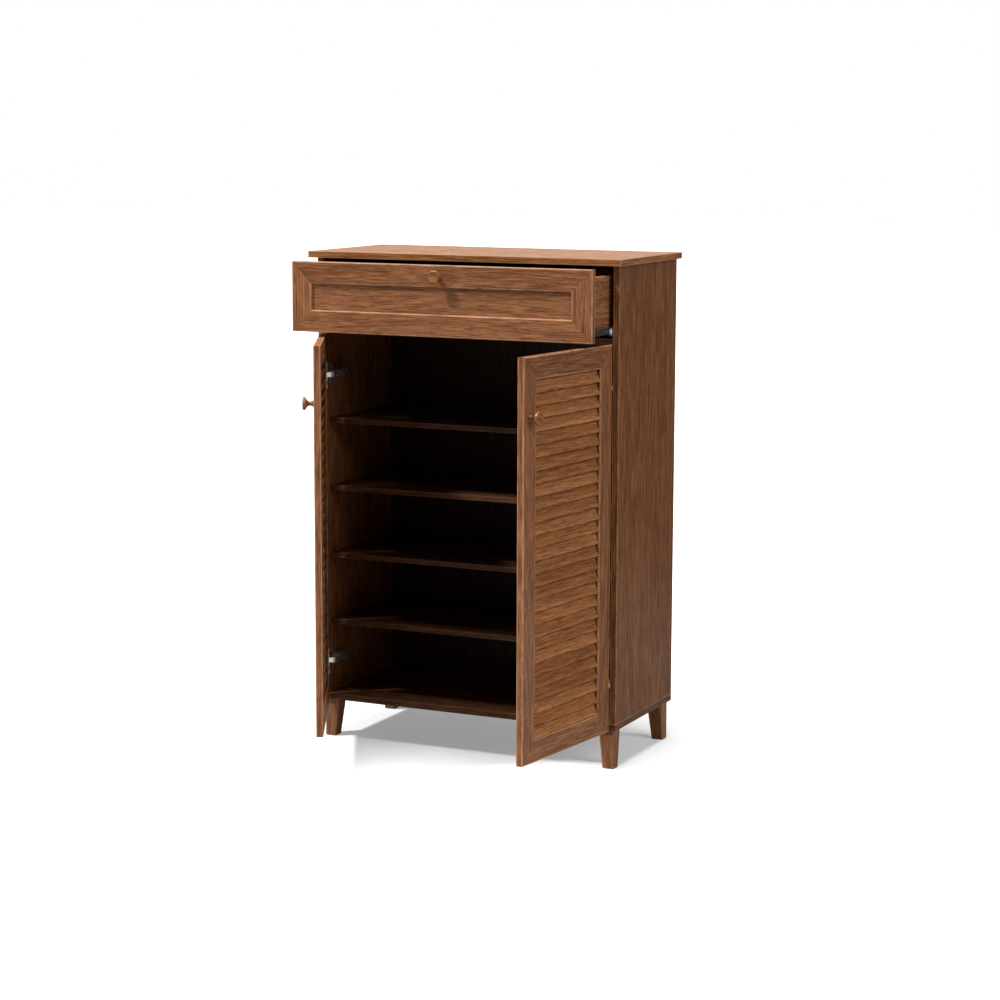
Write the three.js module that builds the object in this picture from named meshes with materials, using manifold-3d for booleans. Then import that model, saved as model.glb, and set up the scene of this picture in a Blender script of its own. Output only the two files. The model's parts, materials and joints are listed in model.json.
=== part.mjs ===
// Shoe cabinet: a free-standing storage cabinet on four legs, with one drawer on roller runners,
// two louvred doors on concealed cup hinges and four shelves behind them.
// Millimetres, +Z up. The floor is z = 0, the doors and the drawer face -Y. The cabinet stands
// half open: the drawer is pulled out and both doors are swung away from the body.

import * as THREE from 'three';
import { mergeVertices } from 'three/addons/utils/BufferGeometryUtils.js';
import Module from 'manifold-3d';

const wasm = await Module();
wasm.setup();
const { Manifold } = wasm;

// ---- carcass ----
const TOP_WIDTH = 780;
const TOP_DEPTH = 368;
const TOP_OVERHANG_FRONT = 24;
const TOP_OVERHANG_BACK = 2;
const TOP_OVERHANG_SIDE = 12;
const OVERALL_HEIGHT = 1148;
const BOARD = 15;
const LEG_HEIGHT = 90;
const BACK_THICKNESS = 4;
const BACK_INSET = 6;
const BACK_GROOVE = 5;
const DRAWER_BAY_HEIGHT = 160;

// ---- legs ----
const LEG_INSET = 7;
const LEG_TOP = 38;
const LEG_FOOT = 28;
const LEG_CORNER = 4;

// ---- shelves ----
const SHELF_THICKNESS = 12;
const SHELF_SETBACK = 23;
const SHELF_COUNT = 4;
const LOWEST_BAY_CLEAR = 163;
const SHELF_PITCH = 159.6;

// ---- fronts ----
const FRONT_THICKNESS = 16;
const FRONT_GAP = 2;
const FRONT_REVEAL = 8;
const FRAME_WIDTH = 50;
const FRAME_ARRIS = 1.2;
const FRAME_BEVEL = 2;
const SEAM = 0.12;
const MEETING_GAP = 3;
const DRAWER_FRONT_HEIGHT = 159;
const DRAWER_FRONT_TOP_GAP = 2;
const DOOR_BELOW_DRAWER_FRONT = 11;

// ---- louvres ----
const SLAT_COUNT = 28;
const SLAT_THICKNESS = 4;
const SLAT_RUN = 11.2;
const SLAT_RISE = 30.8;
const SLAT_STRIP = 4;

// ---- concealed hinges ----
const HINGE_FROM_DOOR_END = 98;
const HINGE_PIVOT_IN = 7;
const HINGE_PIVOT_BEHIND_FACE = 1.5;
const CUP_RADIUS = 17.3;
const CUP_FROM_EDGE = 21.5;
const CUP_DEPTH = 11;
const CUP_WALL = 1.3;
const CUP_EAR_LENGTH = 62;
const LINK_REACH = 18;
const LINK_PIVOT_FROM_EDGE = 32;
const LINK_PIVOT_DEPTH = 9;
const LINK_HALF_HEIGHT = 5.5;
const ARM_CHEEK = 1.2;
const LINK_TURN_PER_DOOR_TURN = -0.5;
const RIGHT_DOOR_OPEN = 83;
const LEFT_DOOR_OPEN = 63;

// ---- drawer ----
const DRAWER_PULLED = 116;
const DRAWER_PANEL_RECESS = 6;
const DRAWER_PANEL_THICKNESS = 6;
const DRAWER_PANEL_GROOVE = 6;
const DRAWER_BACK_CLEARANCE = 14;
const DRAWER_SIDE_THICKNESS = 12;
const DRAWER_SIDE_HEIGHT = 128;
const DRAWER_SIDE_GAP = 12.5;
const DRAWER_SIDE_ABOVE_FRONT_FOOT = 11;
const DRAWER_BOTTOM_THICKNESS = 4;
const DRAWER_BOTTOM_LIFT = 8;
const DRAWER_BOTTOM_GROOVE = 5;

// ---- roller runners ----
const SHEET = 1.2;
const ROLLER_RADIUS = 8;
const ROLLER_WIDTH = 6.5;
const ROLLER_PIN_RADIUS = 2;
const RUNNER_SHORT_OF_DRAWER = 20;
const RUNNER_FLANGE = 10;

// ---- knobs ----
const KNOB_RADIUS = 15;
const KNOB_LENGTH = 25;
const KNOB_NECK = 5;
const KNOB_BASE = 7.5;
const KNOB_BELOW_DOOR_HEAD = 128;

// ---- derived sizes ----
const HALF = TOP_WIDTH / 2 - TOP_OVERHANG_SIDE;
const INNER = HALF - BOARD;
const BODY_DEPTH = TOP_DEPTH - TOP_OVERHANG_FRONT - TOP_OVERHANG_BACK;
const SIDE_FOOT = LEG_HEIGHT + BOARD;
const SIDE_HEAD = OVERALL_HEIGHT - BOARD;
const BACK_FRONT_FACE = BODY_DEPTH - BACK_INSET - BACK_THICKNESS;
const DIVIDER_TOP = SIDE_HEAD - DRAWER_BAY_HEIGHT;
const DIVIDER_FOOT = DIVIDER_TOP - BOARD;
const FRONT_BACK_FACE = -FRONT_GAP;
const FRONT_FACE = -FRONT_GAP - FRONT_THICKNESS;
const FRONT_EDGE = HALF - FRONT_REVEAL;
const DOOR_WIDTH = FRONT_EDGE - MEETING_GAP / 2;
const DOOR_FOOT = LEG_HEIGHT;
const DRAWER_FRONT_HEAD = SIDE_HEAD - DRAWER_FRONT_TOP_GAP;
const DRAWER_FRONT_FOOT = DRAWER_FRONT_HEAD - DRAWER_FRONT_HEIGHT;
const DOOR_HEAD = DRAWER_FRONT_FOOT - DOOR_BELOW_DRAWER_FRONT;
const DRAWER_OUTER = INNER - DRAWER_SIDE_GAP;
const DRAWER_LENGTH = BACK_FRONT_FACE - FRONT_BACK_FACE - DRAWER_BACK_CLEARANCE;
const RUNNER_LENGTH = DRAWER_LENGTH - RUNNER_SHORT_OF_DRAWER;
const DRAWER_INNER = DRAWER_OUTER - DRAWER_SIDE_THICKNESS;
const DRAWER_SIDE_FOOT = DRAWER_FRONT_FOOT + DRAWER_SIDE_ABOVE_FRONT_FOOT;
const DRAWER_SIDE_HEAD = DRAWER_SIDE_FOOT + DRAWER_SIDE_HEIGHT;
const DOOR_PIVOT = { x: FRONT_EDGE - HINGE_PIVOT_IN, y: FRONT_FACE + HINGE_PIVOT_BEHIND_FACE };
const HINGE_HEIGHTS = { upper: DOOR_HEAD - HINGE_FROM_DOOR_END, lower: DOOR_FOOT + HINGE_FROM_DOOR_END };
const LINK_PIVOT = { x: FRONT_EDGE - LINK_PIVOT_FROM_EDGE, y: -LINK_PIVOT_DEPTH };

// The footprint, open doors included, is centred on the origin.
const RIGHT_REACH = DOOR_WIDTH * Math.sin((RIGHT_DOOR_OPEN * Math.PI) / 180);
const FRONTMOST = DOOR_PIVOT.y - RIGHT_REACH + HINGE_PIVOT_IN;
const SHIFT_Y = Math.round(-(BODY_DEPTH + TOP_OVERHANG_BACK + FRONTMOST) / 2);

// ---- materials ----
const material = (color, roughness, metalness) =>
  new THREE.MeshStandardMaterial({ color, roughness, metalness });
const frontWood = material(0x8a5638, 0.48, 0);
const bodyWood = material(0x6f452c, 0.5, 0);
const innerWood = material(0x5d3a26, 0.55, 0);
const knobWood = material(0xa8744c, 0.38, 0);
const nickel = material(0xb9b6ae, 0.28, 1);
const zinc = material(0x9a9c9c, 0.4, 1);
const nylon = material(0xe9e9e4, 0.45, 0);

const cabinet = new THREE.Group();
cabinet.name = 'shoe_cabinet';

function add(name, geometry, mat) {
  const mesh = new THREE.Mesh(geometry, mat);
  mesh.name = name;
  cabinet.add(mesh);
  return mesh;
}

// ---- shapes ----
function block(x0, x1, y0, y1, z0, z1) {
  const g = new THREE.BoxGeometry(x1 - x0, y1 - y0, z1 - z0);
  g.translate((x0 + x1) / 2, (y0 + y1) / 2, (z0 + z1) / 2);
  return g;
}

// A solid from a closed outline [x, y], lifted from z0 to z1.
function prism(outline, z0, z1) {
  const shape = new THREE.Shape(outline.map(([x, y]) => new THREE.Vector2(x, y)));
  const g = new THREE.ExtrudeGeometry(shape, { depth: z1 - z0, bevelEnabled: false, curveSegments: 8 });
  g.translate(0, 0, z0);
  return g;
}

// A prism whose outline is [x, z], laid along the depth from y0 to y1.
function depthPrism(outline, y0, y1) {
  const g = prism(outline, 0, y1 - y0);
  g.rotateX(Math.PI / 2);
  g.translate(0, y1, 0);
  return g;
}

function rod(radius, y0, y1, segments = 40) {
  const g = new THREE.CylinderGeometry(radius, radius, y1 - y0, segments);
  g.translate(0, (y0 + y1) / 2, 0);
  return g;
}

function solid(geometry) {
  const bare = geometry.clone();
  bare.deleteAttribute('normal');
  bare.deleteAttribute('uv');
  const merged = mergeVertices(bare, 1e-4);
  return new Manifold(new wasm.Mesh({
    numProp: 3,
    vertProperties: new Float32Array(merged.attributes.position.array),
    triVerts: new Uint32Array(merged.index.array),
  }));
}

function geometryOf(manifold) {
  const mesh = manifold.getMesh();
  const g = new THREE.BufferGeometry();
  g.setAttribute('position', new THREE.BufferAttribute(new Float32Array(mesh.vertProperties), 3));
  g.setIndex(new THREE.BufferAttribute(new Uint32Array(mesh.triVerts), 1));
  g.computeVertexNormals();
  return g;
}

function joined(...geometries) {
  return geometryOf(geometries.map(solid).reduce((a, b) => a.add(b)));
}

function cut(geometry, ...tools) {
  return geometryOf(tools.map(solid).reduce((a, b) => a.subtract(b), solid(geometry)));
}

// The same piece on the other side of the cabinet: x changes sign and the faces are turned round.
function mirrored(geometry) {
  const g = geometry.index ? geometry.toNonIndexed() : geometry.clone();
  g.deleteAttribute('normal');
  g.deleteAttribute('uv');
  const p = g.attributes.position;
  for (let i = 0; i < p.count; i += 3) {
    const corners = [0, 1, 2].map((k) => new THREE.Vector3().fromBufferAttribute(p, i + k));
    corners.reverse().forEach((v, k) => p.setXYZ(i + k, -v.x, v.y, v.z));
  }
  const closed = mergeVertices(g, 1e-4);
  closed.computeVertexNormals();
  return closed;
}

// A bar with 45 degree mitres at both ends. Its section is a list of [across, depth] points; across
// runs from the outer edge of the frame towards its opening, so every point of the section starts
// and stops one "across" short of the bar's full length.
function mitredBar(section, length, toPlace) {
  const ring = section.map(([w, y]) => new THREE.Vector2(w, y));
  const caps = THREE.ShapeUtils.triangulateShape(ring, []);
  const n = ring.length;
  const points = [];
  for (const end of [0, 1]) {
    for (const { x: w, y } of ring) {
      const [px, pz] = toPlace(end === 0 ? w + SEAM : length - w - SEAM, w);
      points.push(px, y, pz);
    }
  }
  const faces = [];
  for (const [a, b, c] of caps) {
    faces.push(a, b, c, n + a, n + c, n + b);
  }
  for (let i = 0; i < n; i += 1) {
    const j = (i + 1) % n;
    faces.push(i, n + i, j, j, n + i, n + j);
  }
  const g = new THREE.BufferGeometry();
  g.setAttribute('position', new THREE.BufferAttribute(new Float32Array(points), 3));
  g.setIndex(faces);
  if (solid(g).volume() < 0) {
    g.setIndex(faces.map((_, i) => faces[i - (i % 3) + (2 - (i % 3))]));
  }
  g.computeVertexNormals();
  return g;
}

// Four mitred bars round the rectangle x0..x1, z0..z1.
function mitredFrame(x0, x1, z0, z1, railSection, stileSection) {
  const wide = x1 - x0;
  const high = z1 - z0;
  return {
    foot: mitredBar(railSection, wide, (s, w) => [x0 + s, z0 + w]),
    head: mitredBar(railSection, wide, (s, w) => [x1 - s, z1 - w]),
    left: mitredBar(stileSection, high, (s, w) => [x0 + w, z1 - s]),
    right: mitredBar(stileSection, high, (s, w) => [x1 - w, z0 + s]),
  };
}

// The frame's section: softened outer arrises, a bevel round the opening on the show face and, if
// asked for, a groove in the inner edge between the depths grooveFrom and grooveTo.
function frameSection(groove) {
  const front = FRONT_FACE;
  const back = FRONT_BACK_FACE;
  const points = [
    [0, front + FRAME_ARRIS],
    [FRAME_ARRIS, front],
    [FRAME_WIDTH - FRAME_BEVEL, front],
    [FRAME_WIDTH, front + FRAME_BEVEL * 0.7],
  ];
  if (groove) {
    points.push([FRAME_WIDTH, groove.from]);
    points.push([FRAME_WIDTH - groove.depth, groove.from]);
    points.push([FRAME_WIDTH - groove.depth, groove.to]);
    points.push([FRAME_WIDTH, groove.to]);
  }
  points.push([FRAME_WIDTH, back]);
  points.push([FRAME_ARRIS, back]);
  points.push([0, back - FRAME_ARRIS]);
  return points;
}

// ---- carcass ----
add(
  'top_panel',
  block(-TOP_WIDTH / 2, TOP_WIDTH / 2, -TOP_OVERHANG_FRONT, BODY_DEPTH + TOP_OVERHANG_BACK,
    SIDE_HEAD, OVERALL_HEIGHT),
  bodyWood,
);
const sideOutline = [
  [INNER, 0],
  [HALF, 0],
  [HALF, BODY_DEPTH],
  [INNER, BODY_DEPTH],
  [INNER, BACK_FRONT_FACE + BACK_THICKNESS],
  [INNER + BACK_GROOVE, BACK_FRONT_FACE + BACK_THICKNESS],
  [INNER + BACK_GROOVE, BACK_FRONT_FACE],
  [INNER, BACK_FRONT_FACE],
];
const side = prism(sideOutline, SIDE_FOOT, SIDE_HEAD);
add('right_side_panel', side, bodyWood);
add('left_side_panel', mirrored(side), bodyWood);
add('bottom_panel', block(-HALF, HALF, 0, BODY_DEPTH, LEG_HEIGHT, SIDE_FOOT), bodyWood);
add(
  'back_panel',
  block(-INNER - BACK_GROOVE, INNER + BACK_GROOVE, BACK_FRONT_FACE, BACK_FRONT_FACE + BACK_THICKNESS,
    SIDE_FOOT, SIDE_HEAD),
  innerWood,
);
add('drawer_divider', block(-INNER, INNER, 0, BACK_FRONT_FACE, DIVIDER_FOOT, DIVIDER_TOP), innerWood);
for (let i = 0; i < SHELF_COUNT; i += 1) {
  const z = SIDE_FOOT + LOWEST_BAY_CLEAR + i * SHELF_PITCH;
  const board = block(-INNER, INNER, SHELF_SETBACK, BACK_FRONT_FACE, z, z + SHELF_THICKNESS);
  add(`shelf_${i + 1}`, board, innerWood);
}

// ---- legs: square blocks with rounded corners, tapered on their two inner faces ----
function roundedSquare(width, radius) {
  const points = [];
  const centres = [
    [width - radius, width - radius, 0],
    [radius, width - radius, 90],
    [radius, radius, 180],
    [width - radius, radius, 270],
  ];
  for (const [cx, cy, start] of centres) {
    for (let k = 0; k <= 4; k += 1) {
      const a = ((start + k * 22.5) * Math.PI) / 180;
      points.push([cx + radius * Math.cos(a), cy + radius * Math.sin(a)]);
    }
  }
  return points;
}

function taperedLeg(outerX, outerY, towardsX, towardsY) {
  const foot = roundedSquare(LEG_FOOT, LEG_CORNER);
  const head = roundedSquare(LEG_TOP, LEG_CORNER);
  const n = foot.length;
  const points = [];
  foot.forEach(([x, y]) => points.push(outerX + towardsX * x, outerY + towardsY * y, 0));
  head.forEach(([x, y]) => points.push(outerX + towardsX * x, outerY + towardsY * y, LEG_HEIGHT));
  const faces = [];
  for (let i = 0; i < n; i += 1) {
    const j = (i + 1) % n;
    faces.push(i, j, n + i, j, n + j, n + i);
  }
  for (let i = 1; i < n - 1; i += 1) {
    faces.push(0, i + 1, i, n, n + i, n + i + 1);
  }
  const flip = towardsX * towardsY < 0;
  const g = new THREE.BufferGeometry();
  g.setAttribute('position', new THREE.BufferAttribute(new Float32Array(points), 3));
  g.setIndex(flip ? faces.map((_, i) => faces[i - (i % 3) + (2 - (i % 3))]) : faces);
  g.computeVertexNormals();
  return g;
}

const legX = HALF - LEG_INSET;
const legBack = BODY_DEPTH - LEG_INSET;
add('leg_front_right', taperedLeg(legX, LEG_INSET, -1, 1), bodyWood);
add('leg_front_left', taperedLeg(-legX, LEG_INSET, 1, 1), bodyWood);
add('leg_back_right', taperedLeg(legX, legBack, -1, -1), bodyWood);
add('leg_back_left', taperedLeg(-legX, legBack, 1, -1), bodyWood);

// ---- roller runners ----
// The cabinet member is a channel screwed to the side panel with a roller at its front end. The
// drawer member wraps the foot of the drawer side; its outward lip rides on the front roller, and
// a second roller at its back end runs inside the cabinet member.
const lipUnder = DRAWER_SIDE_FOOT + 14;
const frontRollerZ = lipUnder - ROLLER_RADIUS;
const channelFloor = frontRollerZ - ROLLER_RADIUS - 0.8;
const backRollerZ = channelFloor + ROLLER_RADIUS + 0.1;
const frontRollerY = ROLLER_RADIUS - 1;
const backRollerY = DRAWER_LENGTH - ROLLER_RADIUS - 6;
const rollerIn = DRAWER_OUTER + SHEET + 1.3;
const rollerOut = rollerIn + ROLLER_WIDTH;

function alongX(geometry, x, y, z) {
  geometry.rotateZ(-Math.PI / 2);
  geometry.translate(x, y, z);
  return geometry;
}

const cabinetMember = joined(
  depthPrism([
    [INNER, channelFloor - SHEET],
    [INNER, lipUnder + 2 * SHEET + 1.2],
    [INNER - RUNNER_FLANGE + 2, lipUnder + 2 * SHEET + 1.2],
    [INNER - RUNNER_FLANGE + 2, lipUnder + SHEET + 1.2],
    [INNER - SHEET, lipUnder + SHEET + 1.2],
    [INNER - SHEET, channelFloor],
    [INNER - RUNNER_FLANGE, channelFloor],
    [INNER - RUNNER_FLANGE, channelFloor - SHEET],
  ], 1, 1 + RUNNER_LENGTH),
  alongX(rod(ROLLER_PIN_RADIUS, rollerIn - INNER + SHEET / 2, 0, 24), INNER - SHEET / 2, frontRollerY,
    frontRollerZ),
);
add('right_cabinet_runner', cabinetMember, zinc);
add('left_cabinet_runner', mirrored(cabinetMember), zinc);

function roller() {
  const bore = ROLLER_PIN_RADIUS + 0.3;
  const w = ROLLER_WIDTH;
  const profile = [
    [bore, 0],
    [ROLLER_RADIUS - 1, 0],
    [ROLLER_RADIUS, 1],
    [ROLLER_RADIUS, w - 1],
    [ROLLER_RADIUS - 1, w],
    [bore, w],
    [bore, 0],
  ].map(([r, h]) => new THREE.Vector2(r, h));
  return new THREE.LatheGeometry(profile, 48);
}

function rollerAt(y, z) {
  const bare = roller();
  bare.deleteAttribute('normal');
  bare.deleteAttribute('uv');
  const g = mergeVertices(bare, 1e-4);
  g.computeVertexNormals();
  g.rotateZ(-Math.PI / 2);
  g.translate(rollerIn, y, z);
  return g;
}

const frontRoller = rollerAt(frontRollerY, frontRollerZ);
add('right_front_roller', frontRoller, nylon);
add('left_front_roller', mirrored(frontRoller), nylon);

// ---- drawer, drawn shut and then pulled out by DRAWER_PULLED ----
function addDrawerPiece(name, geometry, mat) {
  geometry.translate(0, -DRAWER_PULLED, 0);
  add(name, geometry, mat);
}

const drawerPanelGroove = {
  from: FRONT_FACE + DRAWER_PANEL_RECESS,
  to: FRONT_FACE + DRAWER_PANEL_RECESS + DRAWER_PANEL_THICKNESS,
  depth: DRAWER_PANEL_GROOVE,
};
const drawerSection = frameSection(drawerPanelGroove);
const drawerFrame = mitredFrame(-FRONT_EDGE, FRONT_EDGE, DRAWER_FRONT_FOOT, DRAWER_FRONT_HEAD,
  drawerSection, drawerSection);
addDrawerPiece('drawer_front_top_rail', drawerFrame.head, frontWood);
addDrawerPiece('drawer_front_bottom_rail', drawerFrame.foot, frontWood);
addDrawerPiece('drawer_front_left_stile', drawerFrame.left, frontWood);
addDrawerPiece('drawer_front_right_stile', drawerFrame.right, frontWood);
const panelReach = FRAME_WIDTH - drawerPanelGroove.depth + 0.5;
addDrawerPiece(
  'drawer_front_panel',
  block(-FRONT_EDGE + panelReach, FRONT_EDGE - panelReach, drawerPanelGroove.from,
    drawerPanelGroove.to, DRAWER_FRONT_FOOT + panelReach, DRAWER_FRONT_HEAD - panelReach),
  frontWood,
);

const drawerBottomZ = DRAWER_SIDE_FOOT + DRAWER_BOTTOM_LIFT;
const drawerBack = FRONT_BACK_FACE + DRAWER_LENGTH;
const drawerSide = depthPrism([
  [DRAWER_INNER, DRAWER_SIDE_FOOT],
  [DRAWER_OUTER, DRAWER_SIDE_FOOT],
  [DRAWER_OUTER, DRAWER_SIDE_HEAD],
  [DRAWER_INNER, DRAWER_SIDE_HEAD],
  [DRAWER_INNER, drawerBottomZ + DRAWER_BOTTOM_THICKNESS],
  [DRAWER_INNER + DRAWER_BOTTOM_GROOVE, drawerBottomZ + DRAWER_BOTTOM_THICKNESS],
  [DRAWER_INNER + DRAWER_BOTTOM_GROOVE, drawerBottomZ],
  [DRAWER_INNER, drawerBottomZ],
], FRONT_BACK_FACE, drawerBack);
const drawerSideLeft = mirrored(drawerSide);
addDrawerPiece('drawer_right_side', drawerSide, frontWood);
addDrawerPiece('drawer_left_side', drawerSideLeft, frontWood);
addDrawerPiece(
  'drawer_back',
  block(-DRAWER_INNER, DRAWER_INNER, drawerBack - DRAWER_SIDE_THICKNESS, drawerBack,
    drawerBottomZ + DRAWER_BOTTOM_THICKNESS, DRAWER_SIDE_HEAD),
  frontWood,
);
addDrawerPiece(
  'drawer_bottom',
  block(-DRAWER_INNER - DRAWER_BOTTOM_GROOVE, DRAWER_INNER + DRAWER_BOTTOM_GROOVE, FRONT_BACK_FACE,
    drawerBack, drawerBottomZ, drawerBottomZ + DRAWER_BOTTOM_THICKNESS),
  innerWood,
);

const drawerMember = joined(
  depthPrism([
    [DRAWER_INNER, DRAWER_SIDE_FOOT - SHEET],
    [DRAWER_OUTER + SHEET, DRAWER_SIDE_FOOT - SHEET],
    [DRAWER_OUTER + SHEET, lipUnder],
    [DRAWER_OUTER + RUNNER_FLANGE, lipUnder],
    [DRAWER_OUTER + RUNNER_FLANGE, lipUnder + SHEET],
    [DRAWER_OUTER, lipUnder + SHEET],
    [DRAWER_OUTER, DRAWER_SIDE_FOOT],
    [DRAWER_INNER, DRAWER_SIDE_FOOT],
  ], FRONT_BACK_FACE, drawerBack),
  alongX(rod(ROLLER_PIN_RADIUS, 0, rollerOut - DRAWER_OUTER - SHEET / 2, 24), DRAWER_OUTER + SHEET / 2,
    backRollerY, backRollerZ),
);
const drawerMemberLeft = mirrored(drawerMember);
addDrawerPiece('right_drawer_runner', drawerMember, zinc);
addDrawerPiece('left_drawer_runner', drawerMemberLeft, zinc);
const backRoller = rollerAt(backRollerY, backRollerZ);
const backRollerLeft = mirrored(backRoller);
addDrawerPiece('right_back_roller', backRoller, nylon);
addDrawerPiece('left_back_roller', backRollerLeft, nylon);

// ---- knobs: turned mushroom knobs with a dished face ----
function knob(x, z) {
  const r = KNOB_RADIUS;
  const profile = [
    [0, 0],
    [KNOB_BASE, 0],
    [KNOB_BASE, 1.5],
    [KNOB_NECK + 0.9, 4],
    [KNOB_NECK, 8],
    [KNOB_NECK + 1, 12],
    [r * 0.62, 16],
    [r * 0.92, 18.4],
    [r, 20.4],
    [r * 0.97, 22.6],
    [r * 0.86, KNOB_LENGTH - 0.3],
    [r * 0.74, KNOB_LENGTH],
    [r * 0.5, KNOB_LENGTH - 0.9],
    [r * 0.22, KNOB_LENGTH - 1.5],
    [0, KNOB_LENGTH - 1.6],
  ].map(([radius, h]) => new THREE.Vector2(radius, h));
  const bare = new THREE.LatheGeometry(profile, 40);
  bare.deleteAttribute('normal');
  bare.deleteAttribute('uv');
  const g = mergeVertices(bare, 1e-4);
  g.computeVertexNormals();
  g.rotateX(Math.PI);
  g.translate(x, FRONT_FACE - SEAM, z);
  return g;
}

addDrawerPiece('drawer_knob', knob(0, DRAWER_FRONT_HEAD - FRAME_WIDTH / 2), knobWood);

// ---- doors, drawn shut on the right-hand side, mirrored for the left, then swung open ----
const doorX0 = FRONT_EDGE - DOOR_WIDTH;
const strip = { from: FRONT_FACE + 3, to: FRONT_BACK_FACE - 1.5, depth: SLAT_STRIP + 0.4 };
const doorFrame = mitredFrame(doorX0, FRONT_EDGE, DOOR_FOOT, DOOR_HEAD, frameSection(null),
  frameSection(strip));
const cupX = FRONT_EDGE - CUP_FROM_EDGE;

function boring(z) {
  const g = rod(CUP_RADIUS + 0.3, FRONT_BACK_FACE - CUP_DEPTH - 0.3, 1, 48);
  g.translate(cupX, 0, z);
  return g;
}

// Slats tilt with their lower edge out. Their ends meet two thin strips let into the stiles.
function louvre() {
  const openX0 = doorX0 + FRAME_WIDTH;
  const openX1 = FRONT_EDGE - FRAME_WIDTH;
  const openZ0 = DOOR_FOOT + FRAME_WIDTH;
  const openZ1 = DOOR_HEAD - FRAME_WIDTH;
  const pitch = (openZ1 - openZ0) / SLAT_COUNT;
  const middle = (FRONT_FACE + FRONT_BACK_FACE) / 2;
  const chord = Math.hypot(SLAT_RUN, SLAT_RISE);
  const ny = (SLAT_RISE / chord) * (SLAT_THICKNESS / 2);
  const nz = (SLAT_RUN / chord) * (SLAT_THICKNESS / 2);
  const clampZ = (z) => Math.min(openZ1 - 0.4, Math.max(openZ0 + 0.4, z));
  const parts = [
    block(openX0 - SLAT_STRIP, openX0 + 0.6, strip.from + 0.2, strip.to - 0.2, openZ0 + 4, openZ1 - 4),
    block(openX1 - 0.6, openX1 + SLAT_STRIP, strip.from + 0.2, strip.to - 0.2, openZ0 + 4, openZ1 - 4),
  ];
  for (let i = 0; i < SLAT_COUNT; i += 1) {
    const z = openZ0 + (i + 0.5) * pitch;
    const outline = [
      [middle - SLAT_RUN / 2 - ny, clampZ(z - SLAT_RISE / 2 + nz)],
      [middle - SLAT_RUN / 2 + ny, clampZ(z - SLAT_RISE / 2 - nz)],
      [middle + SLAT_RUN / 2 + ny, clampZ(z + SLAT_RISE / 2 - nz)],
      [middle + SLAT_RUN / 2 - ny, clampZ(z + SLAT_RISE / 2 + nz)],
    ];
    const g = prism(outline, 0, openX1 - openX0 - 0.4);
    g.rotateY(Math.PI / 2);
    g.rotateX(Math.PI / 2);
    g.translate(openX0 + 0.2, 0, 0);
    parts.push(g);
  }
  return joined(...parts);
}

function cup(z) {
  const face = FRONT_BACK_FACE;
  const shell = rod(CUP_RADIUS, face - CUP_DEPTH, face + 0.6, 48);
  const rim = rod(CUP_RADIUS + 1.6, face + SEAM, face + 1.3, 48);
  const ears = block(-7, 5, face + SEAM, face + 1.3, -CUP_EAR_LENGTH / 2, CUP_EAR_LENGTH / 2);
  const hollow = rod(CUP_RADIUS - CUP_WALL, face - CUP_DEPTH + 1, face + 3, 48);
  const upperScrew = rod(3.4, face + 0.5, face + 2, 20);
  upperScrew.translate(-1, 0, CUP_EAR_LENGTH / 2 - 6);
  const lowerScrew = rod(3.4, face + 0.5, face + 2, 20);
  lowerScrew.translate(-1, 0, -CUP_EAR_LENGTH / 2 + 6);
  const g = cut(joined(shell, rim, ears, upperScrew, lowerScrew), hollow);
  g.translate(cupX, 0, z);
  return g;
}

const doorPieces = {
  top_rail: [doorFrame.head, frontWood],
  bottom_rail: [doorFrame.foot, frontWood],
  meeting_stile: [doorFrame.left, frontWood],
  hinge_stile: [cut(doorFrame.right, boring(HINGE_HEIGHTS.upper), boring(HINGE_HEIGHTS.lower)), frontWood],
  louvre: [louvre(), frontWood],
  knob: [knob(doorX0 + FRAME_WIDTH / 2, DOOR_HEAD - KNOB_BELOW_DOOR_HEAD), knobWood],
  upper_hinge_cup: [cup(HINGE_HEIGHTS.upper), nickel],
  lower_hinge_cup: [cup(HINGE_HEIGHTS.lower), nickel],
};

function swing(geometry, pivotX, pivotY, degrees) {
  geometry.translate(-pivotX, -pivotY, 0);
  geometry.rotateZ((degrees * Math.PI) / 180);
  geometry.translate(pivotX, pivotY, 0);
  return geometry;
}

for (const [piece, [geometry, mat]] of Object.entries(doorPieces)) {
  const left = mirrored(geometry);
  add(`right_door_${piece}`, swing(geometry.clone(), DOOR_PIVOT.x, DOOR_PIVOT.y, RIGHT_DOOR_OPEN), mat);
  add(`left_door_${piece}`, swing(left, -DOOR_PIVOT.x, DOOR_PIVOT.y, -LEFT_DOOR_OPEN), mat);
}

// ---- the cabinet's half of each hinge: plate, arm and link ----
const armWeb = LINK_PIVOT.x - 3;
const cheekIn = LINK_HALF_HEIGHT + 0.5;
const cheekOut = cheekIn + ARM_CHEEK;

function hingePlate(z) {
  return joined(
    block(INNER - 2, INNER, 28, 46, z - 23, z + 23),
    block(armWeb + ARM_CHEEK, INNER - 1, 22, 54, z - cheekIn + 0.2, z + cheekIn - 0.2),
  );
}

function hingeArm(z) {
  const nose = LINK_PIVOT.y - 2;
  const outline = [
    [armWeb, nose],
    [LINK_PIVOT.x + 2.3, nose],
    [LINK_PIVOT.x + 2.3, 1],
    [LINK_PIVOT.x + 12, 10],
    [LINK_PIVOT.x + 15, 16],
    [LINK_PIVOT.x + 15, 60],
    [armWeb, 60],
  ];
  const channel = block(armWeb + ARM_CHEEK, INNER, nose - 2, 62, z - cheekIn, z + cheekIn);
  const fork = block(armWeb - 1, INNER, nose - 2, -3, z - cheekIn, z + cheekIn);
  return cut(prism(outline, z - cheekOut, z + cheekOut), channel, fork);
}

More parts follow.
